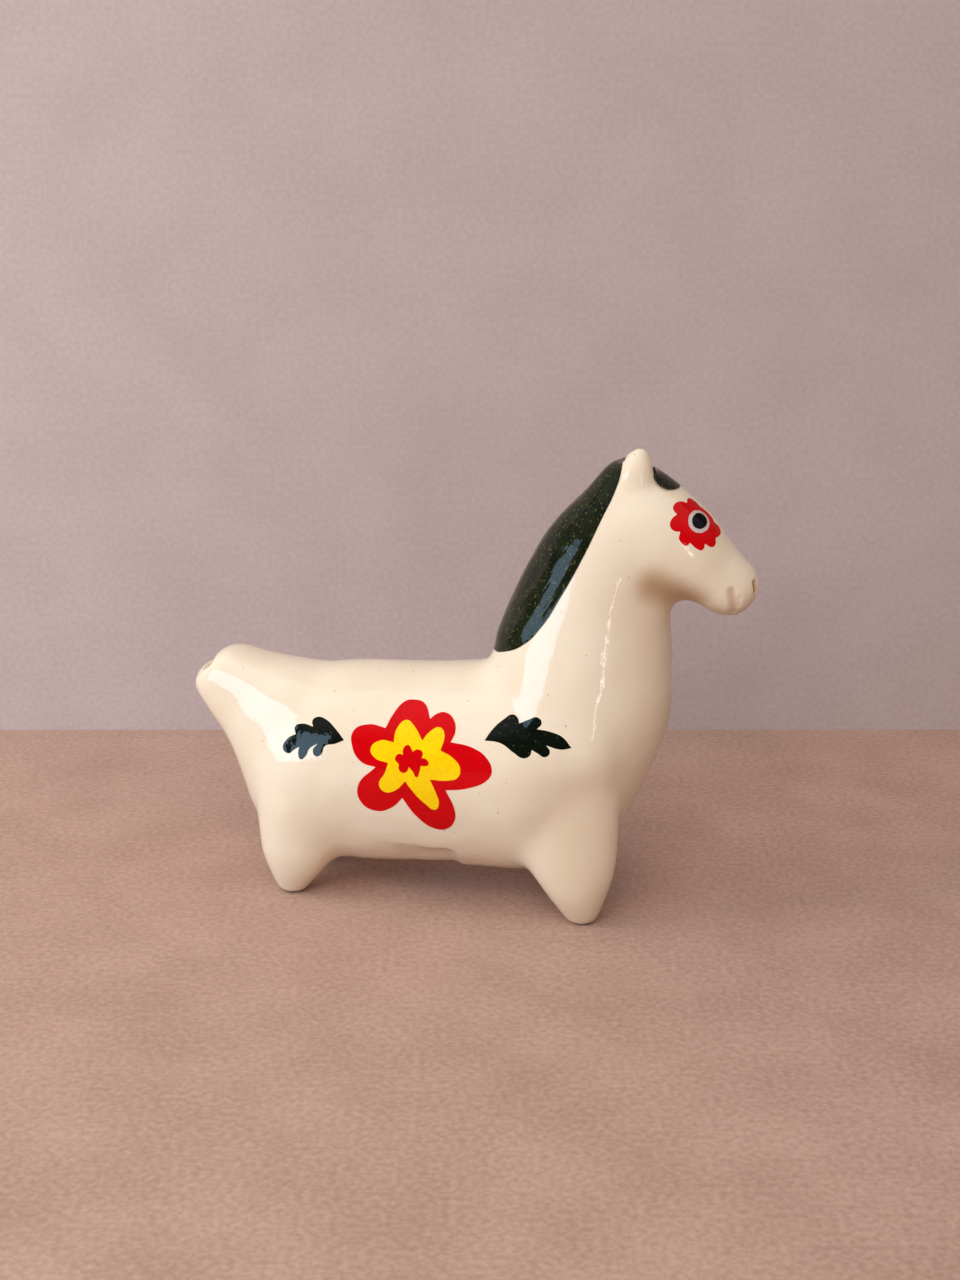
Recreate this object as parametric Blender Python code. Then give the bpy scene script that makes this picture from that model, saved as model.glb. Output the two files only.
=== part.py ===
"""A clay horse whistle built up from luted members, with +Z up, +X to the head and +Y to the horse's left."""

import math
from collections import namedtuple

import bmesh
import bpy
from mathutils import Matrix, Vector

for old in list(bpy.data.objects):
    bpy.data.objects.remove(old)

# Lengths are in millimetres and angles in degrees until a finished piece is scaled to metres.
MM = 0.001

# A cross-section of a member: its centre, the direction of its tall axis in the side view measured
# from +X, its half sizes along that axis and across the horse, and how square it is, with 1 an oval.
Section = namedtuple("Section", "x z tilt tall wide y square", defaults=(0.0, 1.0))

# Trunk, from the rump to the breast.
RUMP = Section(x=-29.5, z=18.6, tilt=90.0, tall=13.4, wide=11.2)
HAUNCH = Section(x=-22.0, z=20.7, tilt=90.0, tall=16.3, wide=13.2)
LOIN = Section(x=-11.0, z=20.9, tilt=90.0, tall=16.8, wide=14.0)
GIRTH = Section(x=2.0, z=21.4, tilt=90.0, tall=17.0, wide=14.6)
SHOULDER = Section(x=14.0, z=23.0, tilt=90.0, tall=17.9, wide=15.0)
BREAST = Section(x=22.0, z=28.0, tilt=90.0, tall=15.0, wide=13.4)
TRUNK = (RUMP, HAUNCH, LOIN, GIRTH, SHOULDER, BREAST)
RUMP_DOME = 5.4
BREAST_DOME = 6.0

# Tail, from inside the rump to the slit the player blows into.
TAIL_ROOT = Section(x=-26.0, z=21.5, tilt=46.0, tall=13.6, wide=11.0)
TAIL_LOW = Section(x=-31.0, z=29.1, tilt=46.0, tall=10.3, wide=8.6, square=1.3)
TAIL_HIGH = Section(x=-36.2, z=32.3, tilt=43.0, tall=7.4, wide=6.5, square=1.5)
TAIL_END = Section(x=-41.0, z=35.5, tilt=42.0, tall=5.2, wide=5.3, square=1.5)
TAIL = (TAIL_ROOT, TAIL_LOW, TAIL_HIGH, TAIL_END)
TAIL_DOME = 1.6

# Chest and neck, from between the forelegs to the poll.
BRISKET = Section(x=13.0, z=14.6, tilt=-18.0, tall=12.2, wide=10.0)
CHEST = Section(x=14.4, z=24.8, tilt=-15.0, tall=15.3, wide=13.0)
NECK_ROOT = Section(x=17.6, z=33.0, tilt=-9.0, tall=15.1, wide=13.0)
NECK_BASE = Section(x=18.8, z=41.5, tilt=-6.0, tall=14.0, wide=11.0)
NECK_MID = Section(x=20.2, z=49.5, tilt=-8.0, tall=12.1, wide=9.4)
NECK_TOP = Section(x=22.4, z=57.2, tilt=-16.0, tall=9.9, wide=8.2)
CREST = Section(x=24.2, z=63.3, tilt=-32.0, tall=6.3, wide=6.6)
POLL = Section(x=25.8, z=67.7, tilt=-42.0, tall=4.9, wide=4.8)
MANED = (NECK_ROOT, NECK_BASE, NECK_MID, NECK_TOP, CREST, POLL)
BRISKET_DOME = 3.0
POLL_DOME = 2.8

# Head, from inside the neck to the muzzle.
CHEEK = Section(x=23.0, z=59.0, tilt=80.0, tall=9.5, wide=7.8)
BROW = Section(x=29.0, z=59.0, tilt=87.0, tall=10.5, wide=7.6)
NOSE = Section(x=36.0, z=57.1, tilt=78.0, tall=7.2, wide=6.7)
SNOUT = Section(x=39.8, z=53.2, tilt=71.0, tall=5.7, wide=5.3)
MUZZLE = Section(x=42.3, z=51.5, tilt=60.0, tall=4.7, wide=4.6)
HEAD = (CHEEK, BROW, NOSE, SNOUT, MUZZLE)
MUZZLE_DOME = 3.0

# Legs, from inside the flank to the foot.
THIGH = Section(x=-25.4, z=17.0, tilt=0.0, tall=7.5, wide=6.0, y=6.6)
GASKIN = Section(x=-26.1, z=8.0, tilt=0.0, tall=6.6, wide=5.2, y=7.0)
HOCK = Section(x=-26.5, z=4.0, tilt=0.0, tall=5.0, wide=4.3, y=7.0)
HIND_FOOT = Section(x=-27.2, z=1.2, tilt=0.0, tall=3.2, wide=2.9, y=7.0)
HIND_LEG = (THIGH, GASKIN, HOCK, HIND_FOOT)
ARM = Section(x=17.4, z=24.0, tilt=0.0, tall=8.4, wide=6.5, y=6.8)
FOREARM = Section(x=18.3, z=10.0, tilt=0.0, tall=7.6, wide=5.6, y=9.0)
KNEE = Section(x=19.4, z=4.8, tilt=0.0, tall=5.3, wide=4.7, y=10.0)
FOREFOOT = Section(x=20.3, z=1.2, tilt=0.0, tall=3.2, wide=3.0, y=10.4)
FORELEG = (ARM, FOREARM, KNEE, FOREFOOT)
LEFT_FORELEG_BACK = 2.0
FOOT_DOME = 2.4

# Ears, from inside the head to the tip.
EAR_ROOT = Section(x=25.8, z=64.6, tilt=0.0, tall=4.0, wide=2.6, y=2.6)
EAR_MIDDLE = Section(x=26.4, z=70.3, tilt=0.0, tall=2.8, wide=2.1, y=2.4)
EAR_TIP = Section(x=26.9, z=72.9, tilt=0.0, tall=1.5, wide=1.4, y=2.1)
EAR = (EAR_ROOT, EAR_MIDDLE, EAR_TIP)
EAR_DOME = 0.9
LEFT_EAR_BACK = 0.9
LEFT_EAR_LOW = 1.2

# Where the members are luted together, and the slip left between them.
SLIP_GAP = 0.3
NECK_SEAM = 39.4
NECK_SEAM_TILT = -6.0
THROAT_X = 31.6
THROAT_Z = 48.4
HEAD_SEAM_TILT = 113.0
TAIL_SEAM = 0.5
WAIST_X = -7.0
LEG_SEAM = 8.8
LEG_PLUG_MARGIN = 0.6

# Depth of the mane from the crest at the neck's sections above its seam.
MANE_DEPTHS = (0.6, 2.5, 8.0, 6.9, 3.4, 0.8)
FORELOCK_ROUND = 5.6
FORELOCK_BITE = 1.8
CUTTER_OVERSHOOT = 8.0

# Whistle: the chamber, the slit from the tail, the window in the belly and the shaved strip round it.
WALL = 4.6
CHAMBER_FRONT = 15.0
CHAMBER_DOME = 7.0
WINDWAY_WIDTH = 7.0
WINDWAY_HEIGHT = 2.0
LABIUM_X = -1.0
LIP = 1.2
LIP_RAMP = 6.0
WINDOW_WIDTH = 9.0
SHAVED_FRONT = 0.0
SHAVED_LENGTH = 14.0
SHAVED_WIDTH = 22.0
SHAVED_DEPTH = 0.6

# How finely the clay form is drawn.
AROUND = 24
STEPS = 4
GRAIN = 0.8
BLEND = 24
FORM_SHARE = 0.13
SLIVER = 0.0005

CREAM = (0.80, 0.72, 0.58)
GREEN = (0.012, 0.030, 0.020)


def blended(rows, steps):
    """The rows of numbers with smooth in-between rows, passing through each given row."""
    result = []
    for index in range(len(rows) - 1):
        before = rows[max(index - 1, 0)]
        start = rows[index]
        end = rows[index + 1]
        after = rows[min(index + 2, len(rows) - 1)]
        for step in range(steps):
            t = step / steps
            row = []
            for a, b, c, d in zip(before, start, end, after):
                bend = (2 * a - 5 * b + 4 * c - d) * t * t + (3 * b - a - 3 * c + d) * t * t * t
                row.append(b + 0.5 * ((c - a) * t + bend))
            result.append(row)
    result.append(list(rows[-1]))
    return result


def tall_axis(section):
    angle = math.radians(section.tilt)
    return Vector((math.cos(angle), 0.0, math.sin(angle)))


def middle(section):
    return Vector((section.x, section.y, section.z))


def squared(turn, square):
    """A sine or cosine pushed towards its ends, which turns an oval into a rounded rectangle."""
    return math.copysign(abs(turn) ** (1.0 / square), turn)


def oval(section, shift, share):
    """The points of a section's outline, moved by shift and shrunk to a share of its size."""
    points = []
    for index in range(AROUND):
        angle = 2 * math.pi * index / AROUND
        up = tall_axis(section) * section.tall * share * squared(math.cos(angle), section.square)
        side = Vector((0.0, section.wide * share * squared(math.sin(angle), section.square), 0.0))
        points.append(middle(section) + shift + up + side)
    return points


def outward(section, neighbour):
    """The direction across a section, away from its neighbour."""
    across = tall_axis(section).cross(Vector((0.0, 1.0, 0.0)))
    return across if across.dot(middle(section) - middle(neighbour)) > 0 else -across


def dome(section, neighbour, height):
    """Shrinking outlines that round off an end."""
    away = outward(section, neighbour)
    rings = []
    for degrees in (25.0, 50.0, 72.0):
        angle = math.radians(degrees)
        rings.append(oval(section, away * height * math.sin(angle), math.cos(angle)))
    return rings


def new_object(name, mesh_data):
    mesh = bpy.data.meshes.new(name)
    bmesh.ops.recalc_face_normals(mesh_data, faces=mesh_data.faces)
    mesh_data.to_mesh(mesh)
    mesh_data.free()
    obj = bpy.data.objects.new(name, mesh)
    bpy.context.scene.collection.objects.link(obj)
    return obj


def skin(rings):
    """A closed mesh through a row of outlines with equally many points."""
    made = bmesh.new()
    loops = [[made.verts.new(point) for point in ring] for ring in rings]
    count = len(rings[0])
    for low, high in zip(loops, loops[1:]):
        for index in range(count):
            after = (index + 1) % count
            made.faces.new((low[index], low[after], high[after], high[index]))
    made.faces.new(loops[0])
    made.faces.new(loops[-1])
    return made


def loft(name, sections, end_dome, start_dome=0.0):
    rows = [Section(*row) for row in blended(sections, STEPS)]
    rings = [oval(row, Vector(), 1.0) for row in rows]
    if start_dome:
        rings = dome(rows[0], rows[1], start_dome)[::-1] + rings
    rings += dome(rows[-1], rows[-2], end_dome)
    return new_object(name, skin(rings))


def prism(name, outline, half_width):
    """A solid with a side-view outline of (x, z) points, reaching equally far to both sides."""
    sides = [[Vector((x, y, z)) for x, z in outline] for y in (-half_width, half_width)]
    return new_object(name, skin(sides))


def drop(obj):
    mesh = obj.data
    bpy.data.objects.remove(obj)
    bpy.data.meshes.remove(mesh)


def settle(obj):
    """Turns an object's modifiers into its own mesh."""
    bpy.context.view_layer.update()
    shaped = obj.evaluated_get(bpy.context.evaluated_depsgraph_get())
    mesh = bpy.data.meshes.new_from_object(shaped)
    old_mesh = obj.data
    obj.modifiers.clear()
    obj.data = mesh
    bpy.data.meshes.remove(old_mesh)
    return obj


def combine(obj, tool, operation):
    """Cuts an object with a tool, joins it or keeps what they share, and clears the slivers away."""
    step = obj.modifiers.new("joint", "BOOLEAN")
    step.operation = operation
    step.solver = "EXACT"
    step.object = tool
    settle(obj)
    drop(tool)
    made = bmesh.new()
    made.from_mesh(obj.data)
    bmesh.ops.remove_doubles(made, verts=made.verts, dist=SLIVER)
    bmesh.ops.dissolve_degenerate(made, edges=made.edges, dist=SLIVER)
    bmesh.ops.triangulate(made, faces=made.faces)
    made.to_mesh(obj.data)
    made.free()
    return obj


def copy_of(obj, name):
    twin = bpy.data.objects.new(name, obj.data.copy())
    bpy.context.scene.collection.objects.link(twin)
    return twin


def mirrored(sections):
    return [section._replace(y=-section.y) for section in sections]


def four_legs():
    """Each leg's name and sections; the left foreleg stands further back than the right."""
    left_foreleg = [section._replace(x=section.x - LEFT_FORELEG_BACK) for section in FORELEG]
    return (
        ("hindleg_right", mirrored(HIND_LEG)),
        ("hindleg_left", HIND_LEG),
        ("foreleg_right", mirrored(FORELEG)),
        ("foreleg_left", left_foreleg),
    )


def two_ears():
    """Each ear's name and sections; the left ear is set lower and further back than the right."""
    left_ear = [section._replace(x=section.x - LEFT_EAR_BACK, z=section.z - LEFT_EAR_LOW) for section in EAR]
    return (("ear_right", mirrored(EAR)), ("ear_left", left_ear))


def half(obj, point, normal):
    """Keeps the side of a plane that its normal points to, half the slip gap away from it."""
    made = bmesh.new()
    made.from_mesh(obj.data)
    facing = Vector(normal).normalized()
    place = Vector(point) + facing * SLIP_GAP / 2
    every = made.verts[:] + made.edges[:] + made.faces[:]
    bmesh.ops.bisect_plane(made, geom=every, plane_co=place, plane_no=facing, clear_inner=True)
    bmesh.ops.holes_fill(made, edges=[edge for edge in made.edges if edge.is_boundary])
    bmesh.ops.triangulate(made, faces=made.faces)
    bmesh.ops.recalc_face_normals(made, faces=made.faces)
    made.to_mesh(obj.data)
    made.free()
    return obj


def swollen(obj, thickness):
    """An object's surface moved outwards by a thickness."""
    made = bmesh.new()
    made.from_mesh(obj.data)
    made.normal_update()
    for vert in made.verts:
        vert.co += vert.normal * thickness
    made.to_mesh(obj.data)
    made.free()
    return obj


def clay_form():
    """The outside of the whole horse without its ears, with every member smoothed into the next."""
    members = [
        loft("trunk", TRUNK, BREAST_DOME, RUMP_DOME),
        loft("tail", TAIL, TAIL_DOME),
        loft("neck", (BRISKET, CHEST) + MANED, POLL_DOME, BRISKET_DOME),
        loft("head", HEAD, MUZZLE_DOME),
    ]
    for name, sections in four_legs():
        members.append(loft(name, sections, FOOT_DOME))
    made = bmesh.new()
    for member in members:
        made.from_mesh(member.data)
        drop(member)
    form = new_object("form", made)
    grain = form.modifiers.new("grain", "REMESH")
    grain.mode = "VOXEL"
    grain.voxel_size = GRAIN
    blend = form.modifiers.new("blend", "SMOOTH")
    blend.factor = 0.5
    blend.iterations = BLEND
    shave(settle(form))
    fewer = form.modifiers.new("fewer", "DECIMATE")
    fewer.ratio = FORM_SHARE
    settle(form)
    return half(form, (0.0, 0.0, -SLIP_GAP / 2), (0.0, 0.0, 1.0))


def shave(form):
    """Takes a thin strip off round the belly, deepest at its front step and running out behind."""
    made = bmesh.new()
    made.from_mesh(form.data)
    made.normal_update()
    for vert in made.verts:
        share = 1.0 - (SHAVED_FRONT - vert.co.x) / SHAVED_LENGTH
        inside = abs(vert.co.y) < SHAVED_WIDTH / 2 and vert.co.z < LOIN.z
        if inside and 0.0 < share < 1.0:
            vert.co -= vert.normal * SHAVED_DEPTH * share
    made.to_mesh(form.data)
    made.free()


def side_point(section, along):
    """The (x, z) point of a section at a distance from its centre along its tall axis."""
    point = middle(section) + tall_axis(section) * along
    return (point.x, point.z)


def belly_height(x):
    """The lowest point of the trunk's outline at a place along it."""
    for low, high in zip(TRUNK, TRUNK[1:]):
        if low.x <= x <= high.x:
            share = (x - low.x) / (high.x - low.x)
            return (low.z - low.tall) * (1 - share) + (high.z - high.tall) * share
    return 0.0


def mane_block(name, extra):
    """The region behind the mane's near edge, which moves forwards by extra."""
    edge = []
    for section, depth in zip(MANED, MANE_DEPTHS):
        edge.append(side_point(section, depth + extra - section.tall))
    back = [side_point(section, -section.tall - CUTTER_OVERSHOOT) for section in MANED]
    outline = [tuple(point) for point in blended(edge, STEPS)] + back[::-1]
    return prism(name, outline, NECK_ROOT.wide + CUTTER_OVERSHOOT)


def forelock_block(name, extra):
    """A rod across the forehead that bites into the brow in front of the ears."""
    radius = FORELOCK_ROUND + extra
    x, z = side_point(BROW, BROW.tall + FORELOCK_ROUND - FORELOCK_BITE)
    outline = []
    for index in range(AROUND):
        angle = 2 * math.pi * index / AROUND
        outline.append((x + radius * math.cos(angle), z + radius * math.sin(angle)))
    return prism(name, outline, BROW.wide + CUTTER_OVERSHOOT)


def leg_block(name, leg, extra):
    """The upright plug that a leg's top fills in the flank."""
    top = leg[1]._replace(z=LEG_SEAM + extra)
    grow = LEG_PLUG_MARGIN + extra
    top = top._replace(tall=top.tall + grow, wide=top.wide + grow)
    low = top._replace(z=-CUTTER_OVERSHOOT)
    return new_object(name, skin([oval(low, Vector(), 1.0), oval(top, Vector(), 1.0)]))


def windway(name):
    """The flat straight passage from the tail's end to the lip of the window."""
    start = middle(TAIL_END)
    end = Vector((LABIUM_X, 0.0, belly_height(LABIUM_X) + SHAVED_DEPTH))
    along = (end - start).normalized()
    rise = Vector((0.0, 1.0, 0.0)).cross(along)
    start -= along * CUTTER_OVERSHOOT
    end += along * LIP
    half_side = Vector((0.0, WINDWAY_WIDTH / 2, 0.0))
    half_rise = rise * WINDWAY_HEIGHT / 2
    rings = []
    for place in (start, end):
        corners = []
        for side, up in ((1, 1), (-1, 1), (-1, -1), (1, -1)):
            corners.append(place + half_side * side + half_rise * up)
        rings.append(corners)
    return new_object(name, skin(rings))


def chamber(name):
    """The hollow of the front barrel, a wall thinner than the trunk."""
    loin = LOIN._replace(tall=LOIN.tall - WALL, wide=LOIN.wide - WALL)
    girth = GIRTH._replace(tall=GIRTH.tall - WALL, wide=GIRTH.wide - WALL)
    front = SHOULDER._replace(x=CHAMBER_FRONT, tall=GIRTH.tall - WALL, wide=GIRTH.wide - WALL)
    return loft(name, (loin, girth, front), CHAMBER_DOME)


def window(name):
    """The opening through the belly from the joint at the waist to the lip, undercut inside."""
    floor = belly_height(LABIUM_X)
    lip = floor + SHAVED_DEPTH + LIP
    behind = WAIST_X - SLIP_GAP
    outline = (
        (behind, floor - CUTTER_OVERSHOOT),
        (LABIUM_X, floor - CUTTER_OVERSHOOT),
        (LABIUM_X, lip),
        (LABIUM_X + LIP_RAMP, floor + WALL + LIP),
        (behind, floor + WALL + LIP),
    )
    return prism(name, outline, WINDOW_WIDTH / 2)


def finish(obj, material, root):
    obj.data.transform(Matrix.Scale(MM, 4))
    obj.data.materials.clear()
    obj.data.materials.append(material)
    obj.parent = root
    return obj


def glaze(name, colour, roughness):
    material = bpy.data.materials.new(name)
    material.use_nodes = True
    shader = material.node_tree.nodes["Principled BSDF"]
    shader.inputs["Base Color"].default_value = (*colour, 1.0)
    shader.inputs["Roughness"].default_value = roughness
    shader.inputs["Metallic"].default_value = 0.0
    return material


def build():
    form = clay_form()
    neck_angle = math.radians(NECK_SEAM_TILT + 90.0)
    neck_up = Vector((math.cos(neck_angle), 0.0, math.sin(neck_angle)))
    neck_place = Vector((NECK_BASE.x, 0.0, NECK_SEAM))
    head_angle = math.radians(HEAD_SEAM_TILT - 90.0)
    head_out = Vector((math.cos(head_angle), 0.0, math.sin(head_angle)))
    throat = Vector((THROAT_X, 0.0, THROAT_Z))
    tail_out = outward(TAIL_HIGH, TAIL_LOW)
    tail_place = middle(TAIL_LOW).lerp(middle(TAIL_HIGH), TAIL_SEAM)
    waist = Vector((WAIST_X, 0.0, 0.0))
    forwards = Vector((1.0, 0.0, 0.0))

    head = half(copy_of(form, "head"), throat, head_out)
    neck = half(half(copy_of(form, "neck"), throat, -head_out), neck_place, neck_up)
    tail = half(copy_of(form, "tail_mouthpiece"), tail_place, tail_out)
    trunk = half(half(copy_of(form, "trunk"), neck_place, -neck_up), tail_place, -tail_out)
    rump = half(copy_of(trunk, "rump_block"), waist, -forwards)
    pot = half(trunk, waist, forwards)
    pot.name = "chamber_pot"

    ears = []
    for name, sections in two_ears():
        ear = loft(name, sections, EAR_DOME)
        ears.append(combine(ear, swollen(copy_of(form, "seat"), SLIP_GAP), "DIFFERENCE"))
    drop(form)

    mane = combine(copy_of(neck, "mane"), mane_block("block", 0.0), "INTERSECT")
    combine(neck, mane_block("block", SLIP_GAP), "DIFFERENCE")
    forelock = combine(copy_of(head, "forelock"), forelock_block("block", 0.0), "INTERSECT")
    combine(head, forelock_block("block", SLIP_GAP), "DIFFERENCE")

    legs = []
    for name, sections in four_legs():
        body = rump if sections[0].x < WAIST_X else pot
        plug = copy_of(body, name)
        legs.append(combine(plug, leg_block("block", sections, 0.0), "INTERSECT"))
        combine(body, leg_block("block", sections, SLIP_GAP), "DIFFERENCE")

    combine(tail, windway("slit"), "DIFFERENCE")
    combine(rump, windway("slit"), "DIFFERENCE")
    combine(pot, combine(chamber("hollow"), window("opening"), "UNION"), "DIFFERENCE")

    cream = glaze("cream_glaze", CREAM, 0.12)
    green = glaze("green_glaze", GREEN, 0.12)
    pieces = [head, neck, tail, rump, pot] + ears + legs + [mane, forelock]
    reach = [vert.co.x for piece in pieces for vert in piece.data.vertices]
    root = bpy.data.objects.new("horse_whistle", None)
    root.location.x = -(min(reach) + max(reach)) / 2 * MM
    bpy.context.scene.collection.objects.link(root)
    for piece in pieces:
        finish(piece, green if piece in (mane, forelock) else cream, root)


build()
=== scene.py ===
"""The looks of the glazed clay horse whistle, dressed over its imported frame.

Lengths are in millimetres until a piece is made, with +X to the head, +Y to the horse's left and +Z up.
"""
import math

import bpy
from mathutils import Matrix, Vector
from mathutils.geometry import intersect_point_line


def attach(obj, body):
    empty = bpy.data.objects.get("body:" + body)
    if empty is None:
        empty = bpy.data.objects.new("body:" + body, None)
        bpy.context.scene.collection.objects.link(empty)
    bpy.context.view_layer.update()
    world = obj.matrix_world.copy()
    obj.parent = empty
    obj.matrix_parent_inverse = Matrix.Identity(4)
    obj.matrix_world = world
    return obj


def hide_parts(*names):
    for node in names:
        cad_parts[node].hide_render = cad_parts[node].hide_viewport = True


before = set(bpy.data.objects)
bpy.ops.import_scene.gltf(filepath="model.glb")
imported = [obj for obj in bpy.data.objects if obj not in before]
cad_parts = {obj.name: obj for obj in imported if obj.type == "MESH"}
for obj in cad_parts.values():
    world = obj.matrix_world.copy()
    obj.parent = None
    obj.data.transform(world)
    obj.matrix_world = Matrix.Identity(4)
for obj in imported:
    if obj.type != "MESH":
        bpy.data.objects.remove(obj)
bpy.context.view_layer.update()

MM = 0.001
X = Vector((1.0, 0.0, 0.0))
Y = Vector((0.0, 1.0, 0.0))
Z = Vector((0.0, 0.0, 1.0))
ORIGIN = Vector((0.0, 0.0, 0.0))
SIDES = (("right", -1.0), ("left", 1.0))

# Clay skin: how far the members grow to close their slip joints, how finely they are fused, and how often and
# how strongly the clay is stroked smooth.
GREEN_NODES = ("mane", "forelock")
SLIP_GROWTH = 0.22
SKIN_GRAIN = 0.5
SKIN_SMOOTHING = 20
STROKE = 0.5
# Points nearer than the weld become one, and faces thinner than the sliver are taken out.
MEMBER_WELD = 0.01
SLIVER = 0.003
# The edge of the flat cut beside the sound window stays crisper than the rest.
CUT_LOW = Vector((-10.0, -13.0, 4.0))
CUT_HIGH = Vector((3.0, 13.0, 12.0))
CUT_SHARE = 0.3
# The hollow where the tail rises from the back is stroked smooth.
HOLLOW = ((-29.0, 0.0, 37.5), (-10.0, 0.0, 37.5))
HOLLOW_WIDTH = 24.0
HOLLOW_SMOOTHING = 160
# So is the corner where a slip joint meets the edge of the sound window, here on the right side.
SEAM = ((-7.0, -4.7, 5.8), (-4.8, -4.7, 5.8))
SEAM_WIDTH = 3.0
SEAM_SMOOTHING = 40

# Hand-pressed unevenness of the clay: how deep and how wide its dents are, and how many layers of finer dents
# lie in them.
DENT_DEPTH = 0.24
DENT_WIDTH = 9.0
DENT_LAYERS = 1

# Muzzle: the part that is modelled finely, and the lines that a stick pressed into its right side. The left
# side mirrors them.
MUZZLE_LOW = Vector((38.5, -7.0, 47.0))
MUZZLE_HIGH = Vector((46.5, 7.0, 56.5))
MUZZLE_CUTS = 2
MOUTH = ((41.0, -4.7, 52.7), (41.1, -4.5, 51.8), (41.2, -4.2, 50.6), (41.3, -3.2, 49.1))
LIP_NOTCH = ((42.2, -4.2, 51.6), (42.2, -3.7, 50.3))
NOSTRIL = ((44.4, -2.0, 53.5), (44.5, -1.9, 52.7), (44.5, -1.8, 52.1))
# Each line with its width, its depth and how strongly it is browned: glaze pooled in the groove, with painted
# shade.
MUZZLE_MARKS = ((MOUTH, 2.0, 0.2, 0.5), (LIP_NOTCH, 1.2, 0.1, 0.0), (NOSTRIL, 1.7, 0.45, 1.0))
# Places where the glaze is browned: painted shade under the jaw and chin, where glaze also pools, and down
# the foreleg, and a browner tone on the flat cut beside the sound window. They are given on the right side
# and mirrored. Each line has its width and its strength.
JAW = ((29.6, -6.3, 53.5), (31.5, -5.4, 52.6), (33.2, -4.5, 51.8), (35.0, -3.8, 51.1))
CHIN = ((37.5, -3.2, 50.0), (41.0, -2.8, 48.6))
FORELEG = ((15.4, -14.4, 21.4), (16.9, -14.0, 14.9), (18.6, -14.5, 8.6), (20.2, -14.0, 3.5))
FLAT_CUT = ((-9.1, -9.9, 9.5), (-2.0, -9.8, 9.8), (-0.9, -9.2, 9.1))
BROWN_TINTS = ((JAW, 9.0, 0.8), (CHIN, 5.0, 0.4), (FORELEG, 20.0, 0.22), (FLAT_CUT, 4.4, 0.3))
# How closely a line is followed over the clay, and the name that the pooled glaze and painted shade are kept
# under.
STICK_STEP = 0.12
POOL_AND_SHADE = "pooled_glaze_and_painted_shade"

# Paint and glaze films: how far each layer stands proud of the one below, and how deep it reaches into the
# clay. The mane and the forelock are pads: how far they rise, and how wide the mane's round shoulder is.
PAINT_PROUD = 0.03
MANE_PROUD = 0.04
FILM_DEPTH = 0.25
MANE_RISE = 0.35
MANE_SHOULDER = 2.6
MANE_DEPTH = 0.7
FORELOCK_RISE = 0.9
FORELOCK_DEPTH = 1.1
# How much skin is kept round a film until it is cut, the sharpest edge that is shaded smooth, and how finely
# outlines are drawn.
FILM_MARGIN = 1.0
SOFT_EDGE = math.radians(50.0)
CURVE_STEPS = 8
OVAL_POINTS = 8

# Planes that the outlines are drawn in: the side view, and the slope of the face beside each eye.
FLANK_NEAR = 3.0
FLANK_FAR = 20.0
FLANK_LOW = Vector((-32.0, FLANK_NEAR, 10.0))
FLANK_HIGH = Vector((24.0, FLANK_FAR, 37.0))
CREST_REACH = 12.0
CREST_LOW = Vector((0.0, -CREST_REACH, 36.0))
CREST_HIGH = Vector((36.0, CREST_REACH, 76.0))
EYE = Vector((35.6, -4.25, 63.25))
EYE_AXIS = Vector((0.570, -0.600, 0.560))
EYE_ALONG = Vector((0.695, -0.011, -0.719))
EYE_REACH = 3.0
EYE_SPAN = Vector((6.5, 6.5, 6.5))
# The left eye is set a little lower, so that it doesn't show over the nose.
LEFT_EYE_SHIFT = Vector((-0.6, 0.3, -0.8))
# How squarely a face has to look to its side to carry paint.
FACING_LEAST = 0.1

# Outlines as lobes. Each lobe starts at the sharp notch before it and goes on round its edge.
PETALS = (
    ((-10.8, 30.2), (-9.8, 32.2), (-8.5, 33.7), (-6.9, 34.1), (-5.0, 33.7)),
    ((-3.9, 31.9), (-3.0, 32.6), (-1.6, 32.9), (-0.2, 32.1), (0.3, 30.6)),
    ((-0.3, 29.0), (3.2, 28.5), (5.5, 27.2), (6.4, 25.4), (5.9, 24.1), (2.6, 22.3)),
    ((-0.8, 21.7), (0.5, 18.8), (0.5, 16.7), (-1.0, 14.9), (-3.0, 14.9), (-5.6, 16.9)),
    ((-7.7, 19.8), (-9.5, 18.0), (-12.0, 17.2), (-14.3, 18.4), (-14.8, 21.2)),
    ((-12.0, 24.4), (-14.3, 25.0), (-15.9, 27.2), (-15.9, 29.4), (-13.6, 30.5)),
)
STAR = (
    ((-9.3, 28.3), (-9.0, 30.2), (-7.6, 31.5), (-6.1, 30.6)),
    ((-4.8, 28.9), (-3.6, 30.3), (-2.2, 30.9), (-1.4, 30.1)),
    ((-1.8, 27.7), (0.3, 26.7), (1.4, 25.4), (1.1, 23.9), (-0.4, 23.3)),
    ((-3.3, 23.2), (-2.2, 20.8), (-1.9, 19.4), (-2.5, 18.3), (-4.1, 19.2), (-6.3, 21.4)),
    ((-7.2, 22.6), (-8.8, 21.0), (-10.5, 20.6), (-11.4, 21.7), (-10.5, 23.6)),
    ((-10.0, 25.2), (-12.3, 25.9), (-12.9, 27.1), (-11.5, 28.4)),
)
HEART = (
    ((-7.7, 26.6), (-7.7, 27.5), (-7.0, 28.1), (-6.4, 27.6)),
    ((-6.2, 27.2), (-5.4, 27.6), (-4.6, 27.2)),
    ((-4.7, 26.4), (-3.9, 26.2), (-3.6, 25.5)),
    ((-4.8, 25.2), (-5.0, 24.2), (-5.4, 23.4), (-6.0, 24.2)),
    ((-6.7, 24.9), (-6.9, 24.3), (-7.5, 23.9), (-8.2, 24.3)),
    ((-8.3, 25.2), (-8.9, 25.9), (-8.4, 26.7)),
)
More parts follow.
